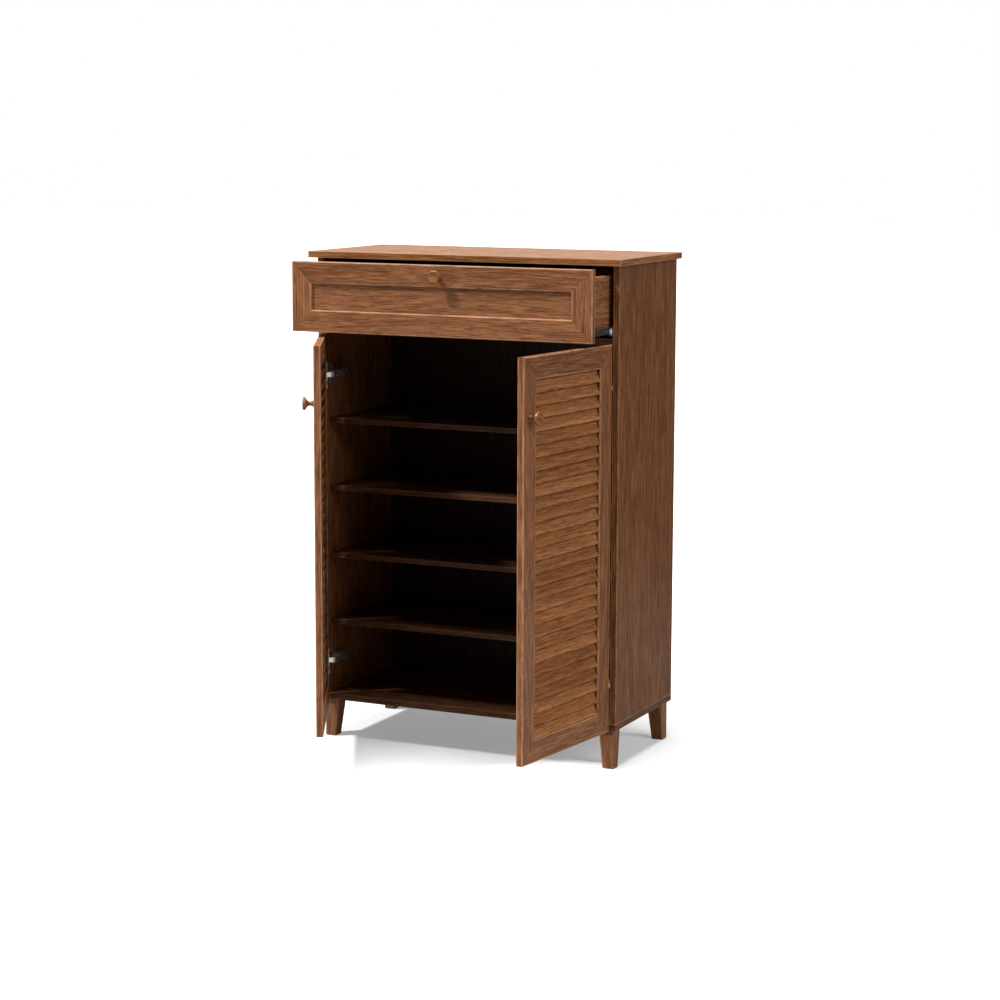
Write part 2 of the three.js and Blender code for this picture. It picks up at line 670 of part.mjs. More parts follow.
function hingeLink(z, degreesFromClosed) {
  const barrel = new THREE.CylinderGeometry(2.2, 2.2, 2 * cheekIn - 0.4, 24);
  barrel.rotateX(Math.PI / 2);
  const strap = block(0, LINK_REACH - 1, -1, 1, -LINK_HALF_HEIGHT, LINK_HALF_HEIGHT);
  const tip = new THREE.CylinderGeometry(1.3, 1.3, 2 * LINK_HALF_HEIGHT, 16);
  tip.rotateX(Math.PI / 2);
  tip.translate(LINK_REACH - 1, 0, 0);
  const g = joined(barrel, strap, tip);
  g.rotateZ((degreesFromClosed * LINK_TURN_PER_DOOR_TURN * Math.PI) / 180);
  g.translate(LINK_PIVOT.x, LINK_PIVOT.y, z);
  return g;
}

for (const [place, z] of Object.entries(HINGE_HEIGHTS)) {
  add(`right_${place}_hinge_plate`, hingePlate(z), nickel);
  add(`left_${place}_hinge_plate`, mirrored(hingePlate(z)), nickel);
  add(`right_${place}_hinge_arm`, hingeArm(z), nickel);
  add(`left_${place}_hinge_arm`, mirrored(hingeArm(z)), nickel);
  add(`right_${place}_hinge_link`, hingeLink(z, RIGHT_DOOR_OPEN), nickel);
  add(`left_${place}_hinge_link`, mirrored(hingeLink(z, LEFT_DOOR_OPEN)), nickel);
}

for (const mesh of cabinet.children) {
  mesh.geometry.translate(0, SHIFT_Y, 0);
}

export default cabinet;
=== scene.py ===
# Looks of a half-open shoe cabinet: a walnut-foiled body on four legs, one drawer on roller runners
# and two louvred doors on cup hinges. Metres, +Z up, floor at z = 0, fronts face -Y.
import json
from math import cos, pi, radians, sin, tau

import bpy
import numpy as np
from mathutils import Matrix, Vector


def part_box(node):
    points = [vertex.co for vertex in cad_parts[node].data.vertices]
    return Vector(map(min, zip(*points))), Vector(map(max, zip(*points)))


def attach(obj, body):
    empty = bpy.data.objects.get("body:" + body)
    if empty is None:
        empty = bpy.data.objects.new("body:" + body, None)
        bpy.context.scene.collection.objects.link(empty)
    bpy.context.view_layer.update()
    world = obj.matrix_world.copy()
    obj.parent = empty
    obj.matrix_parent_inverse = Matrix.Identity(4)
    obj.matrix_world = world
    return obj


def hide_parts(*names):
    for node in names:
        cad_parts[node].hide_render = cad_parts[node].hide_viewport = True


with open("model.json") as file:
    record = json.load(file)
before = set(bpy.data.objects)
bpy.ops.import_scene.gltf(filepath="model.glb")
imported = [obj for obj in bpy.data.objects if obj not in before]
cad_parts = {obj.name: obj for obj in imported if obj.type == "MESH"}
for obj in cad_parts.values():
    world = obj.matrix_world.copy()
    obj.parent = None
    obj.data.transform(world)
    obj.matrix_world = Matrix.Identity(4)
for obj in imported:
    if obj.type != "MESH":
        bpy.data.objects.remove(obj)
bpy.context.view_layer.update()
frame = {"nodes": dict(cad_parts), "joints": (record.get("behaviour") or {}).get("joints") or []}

# ---- Studio ----
# A plain pale floor under a white sky with a bright screen low at the back. A crisp lamp stands high
# to the left in front, a soft one to the right and a broad one overhead. The floor throws part of
# their light back up. The eye stands to the right in front, a little above the top.
def shader(tree, kind, plugs=None, **settings):
    """One shader node. plugs gives each input, by name or number, a fixed value or another node's
    output; settings are the node's own choices, such as its operation."""
    node = tree.nodes.new(kind)
    for name, value in settings.items():
        setattr(node, name, value)
    for key, value in (plugs or {}).items():
        if isinstance(value, bpy.types.NodeSocket):
            tree.links.new(value, node.inputs[key])
        else:
            node.inputs[key].default_value = value
    return node


def stain(red, green, blue):
    """A paint chart's colour, 0 to 255, as light: each channel is raised by the sRGB curve."""
    chart = np.array([red, green, blue]) / 255
    light = np.where(chart <= 0.04045, chart / 12.92, ((chart + 0.055) / 1.055) ** 2.4)
    return (*light.tolist(), 1.0)


def ramp(tree, value, start, end, low=0.0, high=1.0):
    """A value that goes straight from low to high while the given one goes from start to end."""
    return shader(tree, "ShaderNodeMapRange", {"Value": value, "From Min": start, "From Max": end,
                                               "To Min": low, "To Max": high}).outputs[0]


def maths(tree, operation, *values, clamp=False):
    """The result of one sum on one, two or three values."""
    return shader(tree, "ShaderNodeMath", dict(enumerate(values)), operation=operation,
                  use_clamp=clamp).outputs[0]


FLOOR_HALF = 30
FLOOR_LEVEL = -0.0003
floor_mesh = bpy.data.meshes.new("studio_floor")
floor_mesh.from_pydata([(-FLOOR_HALF, -FLOOR_HALF, FLOOR_LEVEL), (FLOOR_HALF, -FLOOR_HALF, FLOOR_LEVEL),
                        (FLOOR_HALF, FLOOR_HALF, FLOOR_LEVEL), (-FLOOR_HALF, FLOOR_HALF, FLOOR_LEVEL)],
                       [], [(0, 1, 2, 3)])
floor = bpy.data.objects.new("studio_floor", floor_mesh)
bpy.context.scene.collection.objects.link(floor)
floor_paint = bpy.data.materials.new("floor_paint")
floor_paint.use_nodes = True
floor_tree = floor_paint.node_tree
floor_tree.nodes.clear()
looked_at = shader(floor_tree, "ShaderNodeLightPath")
matt = shader(floor_tree, "ShaderNodeBsdfDiffuse", {"Color": (0.80, 0.80, 0.80, 1)})
glow = shader(floor_tree, "ShaderNodeEmission", {"Color": (1, 1, 1, 1), "Strength": 0.28})
lifted = shader(floor_tree, "ShaderNodeAddShader", {0: matt.outputs[0], 1: glow.outputs[0]})
bounce = shader(floor_tree, "ShaderNodeBsdfDiffuse", {"Color": (0.28, 0.28, 0.28, 1)})
floor_place = shader(floor_tree, "ShaderNodeTexCoord")
floor_parts = shader(floor_tree, "ShaderNodeSeparateXYZ", {0: floor_place.outputs["Object"]})
far_off = ramp(floor_tree, floor_parts.outputs["Y"], 0.2, 3.0, 0.42, 0.04)
dull = shader(floor_tree, "ShaderNodeBsdfDiffuse", {"Color": far_off})
mirrored_floor = shader(floor_tree, "ShaderNodeMixShader", {0: looked_at.outputs["Is Glossy Ray"],
                                                            1: bounce.outputs[0], 2: dull.outputs[0]})
floor_mix = shader(floor_tree, "ShaderNodeMixShader", {0: looked_at.outputs["Is Camera Ray"],
                                                       1: mirrored_floor.outputs[0], 2: lifted.outputs[0]})
shader(floor_tree, "ShaderNodeOutputMaterial", {"Surface": floor_mix.outputs[0]})
floor_mesh.materials.append(floor_paint)

sky = bpy.data.worlds.new("white_sky")
sky.use_nodes = True
sky_tree = sky.node_tree
sky_tree.nodes.clear()
seen = shader(sky_tree, "ShaderNodeLightPath")
heading = shader(sky_tree, "ShaderNodeTexCoord")
parts = shader(sky_tree, "ShaderNodeSeparateXYZ", {0: heading.outputs["Generated"]})
behind = ramp(sky_tree, parts.outputs["Y"], 0.35, 0.9)
low_down = ramp(sky_tree, parts.outputs["Z"], 0.6, 0.2)
leftward = ramp(sky_tree, parts.outputs["X"], 0.35, 0.05)
screen = maths(sky_tree, "MULTIPLY", maths(sky_tree, "MULTIPLY", behind, low_down), leftward)
sky_level = maths(sky_tree, "MULTIPLY_ADD", screen, 0.92, 0.09)
lighting = shader(sky_tree, "ShaderNodeBackground", {"Color": (1, 1, 1, 1), "Strength": sky_level})
backdrop = shader(sky_tree, "ShaderNodeBackground", {"Color": (1, 1, 1, 1), "Strength": 1.0})
mixed = shader(sky_tree, "ShaderNodeMixShader",
               {0: seen.outputs["Is Camera Ray"], 1: lighting.outputs[0], 2: backdrop.outputs[0]})
shader(sky_tree, "ShaderNodeOutputWorld", {"Surface": mixed.outputs[0]})
bpy.context.scene.world = sky


def soft_sun(name, energy, spread, x, y, z):
    """A far lamp whose light comes from the direction (x, y, z) and spreads over some degrees."""
    lamp_data = bpy.data.lights.new(name, "SUN")
    lamp_data.energy = energy
    lamp_data.angle = radians(spread)
    lamp = bpy.data.objects.new(name, lamp_data)
    from_there = np.array([x, y, z]) / np.linalg.norm([x, y, z])
    across = np.cross([0, 1, 0], from_there)
    across = across / np.linalg.norm(across)
    upward = np.cross(from_there, across)
    lamp.matrix_world = Matrix(np.stack([across, upward, from_there], 1).tolist()).to_4x4()
    bpy.context.scene.collection.objects.link(lamp)


soft_sun("key_light", 3.2, 6, -0.48, -0.38, 0.72)
soft_sun("fill_light", 1.3, 36, 0.84, -0.28, 0.44)
soft_sun("overhead_light", 3.1, 24, 0.0, -0.12, 1.0)

EYE_PLACE = (2.4521, -5.0021, 1.4407)
EYE_TURN = 0.440
EYE_DIP = 0.151
EYE_ROLL = 0.003
eye_data = bpy.data.cameras.new("eye")
eye_data.sensor_width = 36
eye_data.lens = 89.2
eye = bpy.data.objects.new("eye", eye_data)
eye.matrix_world = (Matrix.Translation(EYE_PLACE) @ Matrix.Rotation(EYE_TURN, 4, "Z")
                    @ Matrix.Rotation(pi / 2 - EYE_DIP, 4, "X") @ Matrix.Rotation(EYE_ROLL, 4, "Z"))
bpy.context.scene.collection.objects.link(eye)
bpy.context.scene.camera = eye
bpy.context.scene.view_settings.view_transform = "Standard"

# ---- Side panels ----
# Two upright chipboard boards, 15 mm thick, covered with printed walnut foil, grain upright, and
# banded on the edges with the same foil. They stand on the bottom board and hold every shelf.
ARRIS = 0.0006


def board(low, high, through, arris=ARRIS):
    """A flat board between two corners. Each ring is a rectangle with quarter-circle corners and a
    point either side of each; the rings are stacked along the thickness, and the outer ones step
    in along a quarter circle. Returns the rings and a mark that is 1 on every arris, else 0."""
    low, high = np.array(low), np.array(high)
    u, v = (through + 1) % 3, (through + 2) % 3
    middle, half = (low + high) / 2, (high - low) / 2
    margin = min(0.003, half[through] * 0.6)
    turn = np.linspace(0, pi / 2, 4)
    inset = np.concatenate([[arris + margin], arris * (1 - np.sin(turn)), [0]])
    depth = np.concatenate([[0], arris * (1 - np.cos(turn)), [margin + arris]])
    inset = np.concatenate([inset, inset[::-1]])[:, None]
    depth = np.concatenate([depth, 2 * half[through] - depth[::-1]])
    radius = np.maximum(arris - inset, arris * 0.08)
    back = np.full_like(radius, -margin)
    out_u = np.concatenate([radius, radius * np.cos(turn), back], 1)
    out_v = np.concatenate([back, radius * np.sin(turn), radius], 1)
    centre_u = half[u] - inset - radius
    centre_v = half[v] - inset - radius
    rings = np.zeros((len(depth), 24, 3))
    rings[..., u] = middle[u] + np.concatenate(
        [centre_u + out_u, -centre_u - out_v, -centre_u - out_u, centre_u + out_v], 1)
    rings[..., v] = middle[v] + np.concatenate(
        [centre_v + out_v, centre_v + out_u, -centre_v - out_v, -centre_v - out_u], 1)
    rings[..., through] = (low[through] + depth)[:, None]
    rim = np.maximum(np.array([0, 1, 1, 1, 1, 0, 0, 1, 1, 1, 1, 0])[:, None],
                     np.tile([0, 1, 1, 1, 1, 0], 4)[None, :]).astype(float)
    rim[[0, -1]] = 0
    return rings, rim, False


def skin(rings, loop):
    """Faces over a stack of rings: point j of ring i makes a four-sided face with point j + 1 and
    with ring i + 1. The end rings are closed flat, or joined to each other if loop is true."""
    n, m = rings.shape[:2]
    i = np.arange(n if loop else n - 1)[:, None]
    j = np.arange(m)[None, :]
    here, there = i * m, ((i + 1) % n) * m
    quads = np.stack([here + j, here + (j + 1) % m, there + (j + 1) % m, there + j], -1)
    faces = quads.reshape(-1, 4).tolist()
    if not loop:
        faces += [list(range(m))[::-1], list(range((n - 1) * m, n * m))]
    return faces


def volume_of(points, faces):
    """The volume inside a closed skin: a sixth of the sum of a . (b x c) over fans of its faces."""
    fans = np.array([(f[0], f[k], f[k + 1]) for f in faces for k in range(1, len(f) - 1)])
    a, b, c = (points[fans[:, k]] for k in range(3))
    return np.einsum("ij,ij->", a, np.cross(b, c)) / 6


def piece(name, shells, finish, body, stands_for, along, place=None, smooth=None):
    """One finished piece from closed shells of (rings, arris mark, loop). along is the axis of its
    grain. Each shell takes its own stretch of grain and its own tone, drawn by chance from the count
    of meshes made so far. place moves the points to where the piece stands. On an end face the
    grain turns to run along the face's banding."""
    chance = np.random.default_rng(len(bpy.data.meshes))
    drawn, points, faces, rims, tones, shifts = [], [], [], [], [], []
    count = 0
    for rings, rim, loop in shells:
        flat = rings.reshape(-1, 3)
        stood = flat if place is None else place(flat)
        some = skin(rings, loop)
        if volume_of(stood - stood.mean(0), some) < 0:
            some = [f[::-1] for f in some]
        faces += [[k + count for k in f] for f in some]
        count += len(flat)
        drawn.append(flat)
        points.append(stood)
        rims.append(np.broadcast_to(rim, rings.shape[:2]).reshape(-1))
        tones.append(np.full(len(flat), chance.uniform(-1, 1)))
        shifts.append(np.broadcast_to(chance.uniform(0, 9, 3), flat.shape))
    drawn, shifts = np.concatenate(drawn), np.concatenate(shifts)
    mesh = bpy.data.meshes.new(name)
    mesh.from_pydata(np.concatenate(points).tolist(), [], faces)
    corners = np.concatenate([np.array(f) for f in faces])
    sizes = np.array([len(f) for f in faces])
    crossing = drawn[corners]
    starts = np.concatenate([[0], np.cumsum(sizes)[:-1]])
    spread = np.maximum.reduceat(crossing, starts) - np.minimum.reduceat(crossing, starts)
    is_end = np.repeat(spread[:, along] < 1e-6, sizes)
    size = np.ptp(drawn, axis=0)
    wide = max([k for k in range(3) if k != along], key=lambda k: size[k])
    thin = 3 - along - wide
    grain = np.where(is_end[:, None], crossing[:, [wide, along, thin]], crossing[:, [along, wide, thin]])
    grain = grain + shifts[corners]
    mesh.attributes.new("grain", "FLOAT_VECTOR", "CORNER").data.foreach_set("vector", grain.ravel())
    mesh.attributes.new("rim", "FLOAT", "POINT").data.foreach_set("value", np.concatenate(rims))
    mesh.attributes.new("tone", "FLOAT", "POINT").data.foreach_set("value", np.concatenate(tones))
    if smooth is not None:
        mesh.shade_smooth()
        mesh.set_sharp_from_angle(angle=radians(smooth))
    mesh.materials.append(finish)
    made = bpy.data.objects.new(name, mesh)
    bpy.context.scene.collection.objects.link(made)
    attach(made, body)
    if stands_for:
        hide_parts(*stands_for)
    return made


def new_group(name, takes, gives):
    """An empty shader group with its named sockets. Returns it, its inlets and its outlet node."""
    group = bpy.data.node_groups.new(name, "ShaderNodeTree")
    for label, kind in takes:
        group.interface.new_socket(name=label, in_out="INPUT", socket_type="NodeSocket" + kind)
    for label, kind in gives:
        group.interface.new_socket(name=label, in_out="OUTPUT", socket_type="NodeSocket" + kind)
    return group, group.nodes.new("NodeGroupInput").outputs, group.nodes.new("NodeGroupOutput").inputs


def noise(tree, vector, stretch, detail, roughness=0.5):
    """Noise whose grain is one unit over stretch metres along each axis."""
    spread = shader(tree, "ShaderNodeMapping", {"Vector": vector, "Scale": stretch})
    return shader(tree, "ShaderNodeTexNoise", {"Vector": spread.outputs[0], "Scale": 1.0,
                                               "Detail": detail, "Roughness": roughness})


def mix(tree, factor, first, second):
    """A colour between two: the first at a factor of 0, the second at 1."""
    return shader(tree, "ShaderNodeMix", {"Factor": factor, 6: first, 7: second},
                  data_type="RGBA").outputs[2]


# Printed walnut: growth rings are level lines of a slow noise drawn out along the grain, so they
# arch and close as on a flat-sawn board. Streaks and short dark pores lie over them.
walnut, w_in, w_out = new_group(
    "walnut_figure",
    [("Place", "Vector"), ("Tone", "Float"), ("Dark", "Color"), ("Middle", "Color"), ("Light", "Color"),
     ("Pore", "Color"), ("Ring Contrast", "Float"), ("Streak Contrast", "Float")],
    [("Color", "Color"), ("Roughness", "Float"), ("Height", "Float")])
drift = noise(walnut, w_in["Place"], (3.2, 11.0, 11.0), 1.6)
wander = shader(walnut, "ShaderNodeVectorMath",
                {0: drift.outputs["Color"], 1: (0.0, 0.011, 0.011), 2: w_in["Place"]},
                operation="MULTIPLY_ADD")
slow = noise(walnut, wander.outputs[0], (0.9, 7.5, 7.5), 0.6)
ring_count = maths(walnut, "MULTIPLY", slow.outputs["Fac"], 120.0)
rings_wave = maths(walnut, "MULTIPLY", maths(walnut, "SINE", ring_count), 0.5)
broad = noise(walnut, wander.outputs[0], (3.2, 80.0, 80.0), 2.5)
streak = noise(walnut, wander.outputs[0], (15.0, 480.0, 480.0), 3.0, 0.7)
pore = noise(walnut, wander.outputs[0], (30.0, 620.0, 620.0), 2.0, 0.6)
pore_mask = ramp(walnut, pore.outputs["Fac"], 0.57, 0.63)
broad_part = maths(walnut, "MULTIPLY_ADD", maths(walnut, "SUBTRACT", broad.outputs["Fac"], 0.5), 0.6, 0.5)
ring_part = maths(walnut, "MULTIPLY_ADD", rings_wave, w_in["Ring Contrast"], broad_part)
streak_part = maths(walnut, "MULTIPLY_ADD", maths(walnut, "SUBTRACT", streak.outputs["Fac"], 0.5),
                    w_in["Streak Contrast"], ring_part)
figure = maths(walnut, "MULTIPLY_ADD", w_in["Tone"], 0.16, streak_part, clamp=True)
to_middle = mix(walnut, ramp(walnut, figure, 0.0, 0.5), w_in["Dark"], w_in["Middle"])
to_light = mix(walnut, ramp(walnut, figure, 0.5, 1.0), to_middle, w_in["Light"])
pored = mix(walnut, maths(walnut, "MULTIPLY", pore_mask, 0.6), to_light, w_in["Pore"])
pore_roughness = maths(walnut, "MULTIPLY_ADD", pore_mask, 0.12, 0.44)
walnut.links.new(pored, w_out["Color"])
walnut.links.new(maths(walnut, "MULTIPLY_ADD", figure, -0.10, pore_roughness), w_out["Roughness"])
walnut.links.new(maths(walnut, "MULTIPLY_ADD", pore_mask, -0.7, streak_part), w_out["Height"])

# Handling rubs the arrises: the foil goes paler and smoother there, in broken patches. The same edge
# colour also draws a painted highlight line along each arris. Where a finish gives it a dark colour, as on
# the slats, it is painted shade.
arris_wear_and_light, r_in, r_out = new_group(
    "arris_wear_and_painted_light",
    [("Place", "Vector"), ("Color", "Color"), ("Roughness", "Float"), ("Wear And Painted Light Color", "Color"),
     ("Amount", "Float")],
    [("Color", "Color"), ("Roughness", "Float")])
rim_mark = shader(arris_wear_and_light, "ShaderNodeAttribute", attribute_name="rim")
patches = noise(arris_wear_and_light, r_in["Place"], (35.0, 90.0, 90.0), 3.0, 0.65)
patch_mask = ramp(arris_wear_and_light, patches.outputs["Fac"], 0.25, 0.60)
wear_and_painted_light = maths(arris_wear_and_light, "MULTIPLY", maths(arris_wear_and_light, "POWER", rim_mark.outputs["Fac"], 2.0),
               maths(arris_wear_and_light, "MULTIPLY", patch_mask, r_in["Amount"]))
arris_wear_and_light.links.new(mix(arris_wear_and_light, wear_and_painted_light, r_in["Color"], r_in["Wear And Painted Light Color"]), r_out["Color"])
arris_wear_and_light.links.new(maths(arris_wear_and_light, "MULTIPLY_ADD", wear_and_painted_light, -0.12, r_in["Roughness"]), r_out["Roughness"])


def new_finish(name):
    """A finish with its shader tree. Returns it, the tree and the tree's surface shader."""
    finish = bpy.data.materials.new(name)
    finish.use_nodes = True
    return finish, finish.node_tree, finish.node_tree.nodes["Principled BSDF"]


def lay(tree, surface, colour, roughness, height, strength, distance):
    """Gives a surface its colour and its roughness, and its relief as a bump from a height."""
    bump = shader(tree, "ShaderNodeBump", {"Strength": strength, "Distance": distance, "Height": height})
    tree.links.new(colour, surface.inputs["Base Color"])
    tree.links.new(roughness, surface.inputs["Roughness"])
    tree.links.new(bump.outputs[0], surface.inputs["Normal"])


def walnut_finish(name, dark, middle, light, pore_colour, wear_and_painted_light_colour, rings=0.22, streaks=3.4,
                  lacquer=0.03, lacquer_roughness=0.28, gloss=0.16):
    """Walnut, printed or solid, under a satin lacquer."""
    finish, tree, satin = new_finish(name)
    grain_place = shader(tree, "ShaderNodeAttribute", attribute_name="grain")
    tone = shader(tree, "ShaderNodeAttribute", attribute_name="tone")
    look = shader(tree, "ShaderNodeGroup",
                  {"Place": grain_place.outputs["Vector"], "Tone": tone.outputs["Fac"], "Dark": dark,
                   "Middle": middle, "Light": light, "Pore": pore_colour, "Ring Contrast": rings,
                   "Streak Contrast": streaks}, node_tree=walnut)
    # The arris colour is partly rubbed wear and partly painted edge light: a painted highlight when pale,
    # painted shade when dark.
    edge = shader(tree, "ShaderNodeGroup",
                  {"Place": grain_place.outputs["Vector"], "Color": look.outputs["Color"],
                   "Roughness": look.outputs["Roughness"], "Wear And Painted Light Color": wear_and_painted_light_colour,
                   "Amount": 0.8}, node_tree=arris_wear_and_light)
    lay(tree, satin, edge.outputs["Color"], edge.outputs["Roughness"], look.outputs["Height"], 0.25,
        0.0004)
    satin.inputs["Specular IOR Level"].default_value = gloss
    satin.inputs["Coat Weight"].default_value = lacquer
    satin.inputs["Coat Roughness"].default_value = lacquer_roughness
    return finish


body_walnut = walnut_finish("body_walnut", stain(86, 49, 25), stain(121, 75, 42), stain(151, 100, 60),
                            stain(62, 35, 18), stain(196, 146, 104), gloss=0.1)
for side in ("right", "left"):
    node_name = side + "_side_panel"
    piece(node_name + "_foiled", [board(*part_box(node_name), through=0)], body_walnut, "cabinet",
          [node_name], along=2)

# ---- Bottom board and top ----
# The bottom board runs under both sides. The top stands out over the front and the sides. Both are
# foiled chipboard with the grain running across the cabinet.
# The top's walnut is drawn lighter than the body's: painted light, for the lamps that fall on the top.
top_walnut_painted_light = walnut_finish("top_walnut_painted_light", stain(94, 54, 27), stain(138, 87, 48), stain(178, 121, 72),
                           stain(60, 34, 18), stain(178, 128, 90), lacquer=0.05)
# The bottom board's walnut is drawn darker than the body's: painted shade on its front edge and on its top
# inside the cabinet.
bottom_walnut_painted_shade = walnut_finish("bottom_walnut_painted_shade", stain(64, 37, 21), stain(90, 56, 34), stain(116, 77, 50),
                              stain(42, 24, 14), stain(132, 92, 64), lacquer=0.02, gloss=0.1)
BANDED_ARRIS = 0.0009
for node_name, finish in (("bottom_panel", bottom_walnut_painted_shade), ("top_panel", top_walnut_painted_light)):
    piece(node_name + "_foiled", [board(*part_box(node_name), through=2, arris=BANDED_ARRIS)], finish,
          "cabinet", [node_name], along=0)

# ---- Back, drawer divider and shelves ----
# The inside is drawn in darker copies of the walnut, as painted shade: the darkest on the back's
# inner face, a less dark one on the divider and the shelves. The back is a thin fibreboard, bare on
# its outer face and held in grooves in the sides. The divider is the roof over the shoes, and the four
# shelves rest between the sides.
# Darker copies of the walnut for the inside of the cabinet: painted shade.
shelf_walnut_painted_shade = walnut_finish("shelf_walnut_painted_shade", stain(54, 31, 19), stain(76, 47, 30), stain(98, 64, 42),
                             stain(38, 22, 14), stain(114, 77, 52), lacquer=0.02)
inside_walnut_painted_shade = walnut_finish("inside_walnut_painted_shade", stain(40, 22, 14), stain(54, 31, 20), stain(68, 40, 26),
                             stain(26, 14, 9), stain(86, 55, 38), lacquer=0.02)
back = piece("back_panel_foiled", [board(*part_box("back_panel"), through=1)], inside_walnut_painted_shade, "cabinet",
             ["back_panel"], along=2)
fibreboard, fibre_tree, fibre_face = new_finish("bare_fibreboard")
fibre_place = shader(fibre_tree, "ShaderNodeTexCoord").outputs["Object"]
cloud = noise(fibre_tree, fibre_place, (9.0, 9.0, 9.0), 3.0).outputs["Fac"]
fibres = noise(fibre_tree, fibre_place, (420.0, 420.0, 900.0), 4.0, 0.7).outputs["Fac"]
fibre_tone = maths(fibre_tree, "MULTIPLY_ADD", cloud, 0.12, maths(fibre_tree, "MULTIPLY", fibres, 0.88),
                   clamp=True)
lay(fibre_tree, fibre_face,
    mix(fibre_tree, ramp(fibre_tree, fibre_tone, 0.35, 0.65), stain(104, 74, 50), stain(146, 110, 78)),
    maths(fibre_tree, "MULTIPLY_ADD", fibres, 0.2, 0.6), fibres, 0.3, 0.0003)
fibre_face.inputs["Specular IOR Level"].default_value = 0.2
back.data.materials.append(fibreboard)
facing = np.zeros(len(back.data.polygons) * 3, np.float32)
back.data.polygons.foreach_get("normal", facing)
outside = (facing.reshape(-1, 3)[:, 1] > 0.9).astype(np.int32)
back.data.polygons.foreach_set("material_index", outside)
for node_name in ("drawer_divider", "shelf_1", "shelf_2", "shelf_3", "shelf_4"):
    piece(node_name + "_foiled", [board(*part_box(node_name), through=2)], shelf_walnut_painted_shade, "cabinet",
          [node_name], along=0)

# ---- Legs ----
# Four solid legs, upright on their outer faces and tapered on the two inner ones, with rounded
# corners. They are stained like the body but drawn lighter, as painted light against the shade under
# the cabinet, and screwed up under the bottom board.
def eased(corners, easing):
    """A closed outline with its corners eased: each corner becomes five points of the parabola that
    leaves one edge and meets the next one an easing away, with one more point on each edge just
    beyond. Returns the outline and a mark that is 1 on the eased corners, else 0."""
    corners = np.array(corners, float)
    easing = np.broadcast_to(np.array(easing, float), len(corners))[:, None]
    to_last, to_next = np.roll(corners, 1, 0) - corners, np.roll(corners, -1, 0) - corners
    last_length = np.linalg.norm(to_last, axis=1, keepdims=True)
    next_length = np.linalg.norm(to_next, axis=1, keepdims=True)
    to_last, to_next = to_last / last_length, to_next / next_length
    t = np.linspace(0, 1, 5)[:, None, None]
    start, end = corners + to_last * easing, corners + to_next * easing
    curve = (1 - t) ** 2 * start + 2 * t * (1 - t) * corners + t ** 2 * end
    before = start + to_last * np.minimum(0.002, (last_length - 2 * easing) * 0.3)
    after = end + to_next * np.minimum(0.002, (next_length - 2 * easing) * 0.3)
    outline = np.concatenate([before[None], curve, after[None]]).transpose(1, 0, 2).reshape(-1, 2)
    return outline, np.tile([0, 1, 1, 1, 1, 1, 0], len(corners)).astype(float)


leg_walnut_painted_light = walnut_finish("leg_walnut_painted_light", stain(104, 62, 38), stain(136, 88, 56), stain(162, 112, 76),
                           stain(78, 46, 28), stain(182, 134, 96))
LEG_FOOT = 0.028
LEG_EASING = 0.004
FOOT_BEVEL = 0.0012
END_BAND = 0.004
for node_name in ("leg_front_right", "leg_front_left", "leg_back_right", "leg_back_left"):
    low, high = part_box(node_name)
    leg_top = high.x - low.x
    to_right = 1 if "right" in node_name else -1
    to_back = 1 if "back" in node_name else -1
    outer_x = high.x if to_right > 0 else low.x
    outer_y = high.y if to_back > 0 else low.y
    heights = np.array([0, FOOT_BEVEL, END_BAND, high.z - END_BAND, high.z])
    insets = np.array([FOOT_BEVEL, 0, 0, 0, 0])
    widths = LEG_FOOT + (leg_top - LEG_FOOT) * heights / high.z
    leg_rings = []
    for width, inset in zip(widths, insets):
        far = width - inset
        outline, corner_mark = eased([(inset, inset), (far, inset), (far, far), (inset, far)],
                                     LEG_EASING - inset * 0.5)
        leg_rings.append(outline)
    leg_rings = np.array(leg_rings)
    rings = np.stack([outer_x - to_right * leg_rings[..., 0], outer_y - to_back * leg_rings[..., 1],
                      np.broadcast_to(heights[:, None], leg_rings.shape[:2])], -1)
    foot_mark = np.array([1, 1, 0, 0, 0])[:, None]
    piece(node_name + "_turned_in", [(rings, np.maximum(foot_mark, corner_mark[None, :] * 0.7), False)],
          leg_walnut_painted_light, "cabinet", [node_name], along=2)

# ---- Drawer front ----
# Four mitred bars round a thin flat panel, grain along each bar. The edge round the panel is
# bevelled. Every outer arris is eased.
joints = {joint["name"]: joint for joint in frame["joints"]}
OUTER_FACE = -0.002
INNER_FACE = 0.014
FRAME_WIDTH = 0.050
FRAME_BEVEL = 0.0018
FRAME_EASING = 0.0018
MITRE_SEAM = 0.00012
PANEL_RECESS = 0.006
PANEL_THICKNESS = 0.006
PANEL_GROOVE_DEPTH = 0.006
pulled = np.array([0, joints["drawer_slide"]["range_m"][0], 0])


def pull_out(points):
    """Slides points drawn with the drawer shut to where it stands pulled out."""
    return points + pulled


